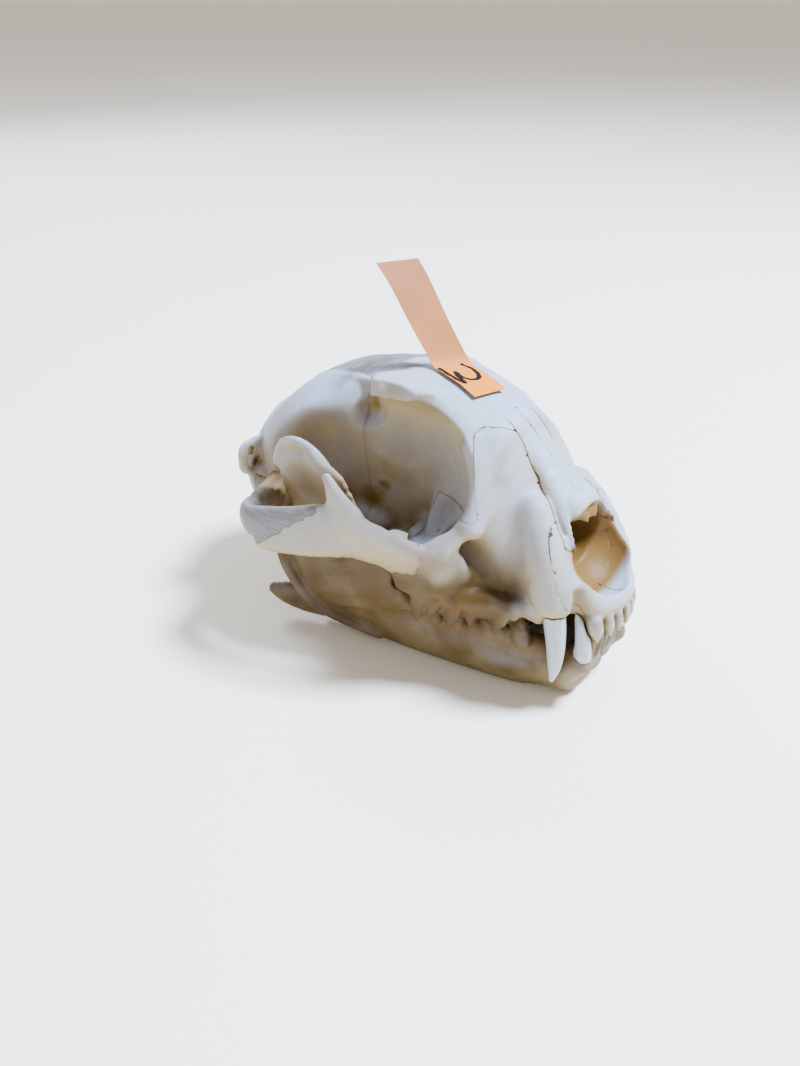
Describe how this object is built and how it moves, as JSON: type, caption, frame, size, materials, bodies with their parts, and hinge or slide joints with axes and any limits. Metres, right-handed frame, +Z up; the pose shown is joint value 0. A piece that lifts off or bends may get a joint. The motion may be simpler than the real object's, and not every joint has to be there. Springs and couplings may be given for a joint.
{
  "type": "caracal skull",
  "caption": "Life-size caracal skull with the lower jaw closed under it and a loose paper strip standing up from the forehead.",
  "frame": {"origin": "centre of the underside, on the surface the lower jaw rests on", "axes": "+Z up, -Y the way the snout points, +X the animal's left"},
  "size_m": [0.09, 0.1153, 0.0994],
  "materials": {
    "braincase": "matt",
    "occipital": "matt",
    "paper_label": "matt",
    "frontal_left": "matt",
    "frontal_right": "matt",
    "nasal_left": "matt",
    "nasal_right": "matt",
    "maxilla_left": "matt",
    "maxilla_right": "matt",
    "premaxilla_left": "matt",
    "premaxilla_right": "matt",
    "jugal_left": "matt",
    "jugal_right": "matt",
    "temporal_left": "matt",
    "temporal_right": "matt",
    "ear_capsule_left": "matt",
    "ear_capsule_right": "matt",
    "mandible_left": "matt",
    "mandible_right": "matt",
    "upper_canine_left": "satin",
    "upper_canine_right": "satin",
    "lower_canine_left": "satin",
    "lower_canine_right": "satin"
  },
  "bodies": {
    "root": {"braincase": "braincase", "occipital": "occipital", "paper_label": "paper_label", "frontal_left": "frontal_left", "frontal_right": "frontal_right", "nasal_left": "nasal_left", "nasal_right": "nasal_right", "maxilla_left": "maxilla_left", "maxilla_right": "maxilla_right", "premaxilla_left": "premaxilla_left", "premaxilla_right": "premaxilla_right", "jugal_left": "jugal_left", "jugal_right": "jugal_right", "temporal_left": "temporal_left", "temporal_right": "temporal_right", "ear_capsule_left": "ear_capsule_left", "ear_capsule_right": "ear_capsule_right", "mandible_left": "mandible_left", "mandible_right": "mandible_right", "upper_canine_left": "upper_canine_left", "upper_canine_right": "upper_canine_right", "lower_canine_left": "lower_canine_left", "lower_canine_right": "lower_canine_right"}
  },
  "joints": []
}
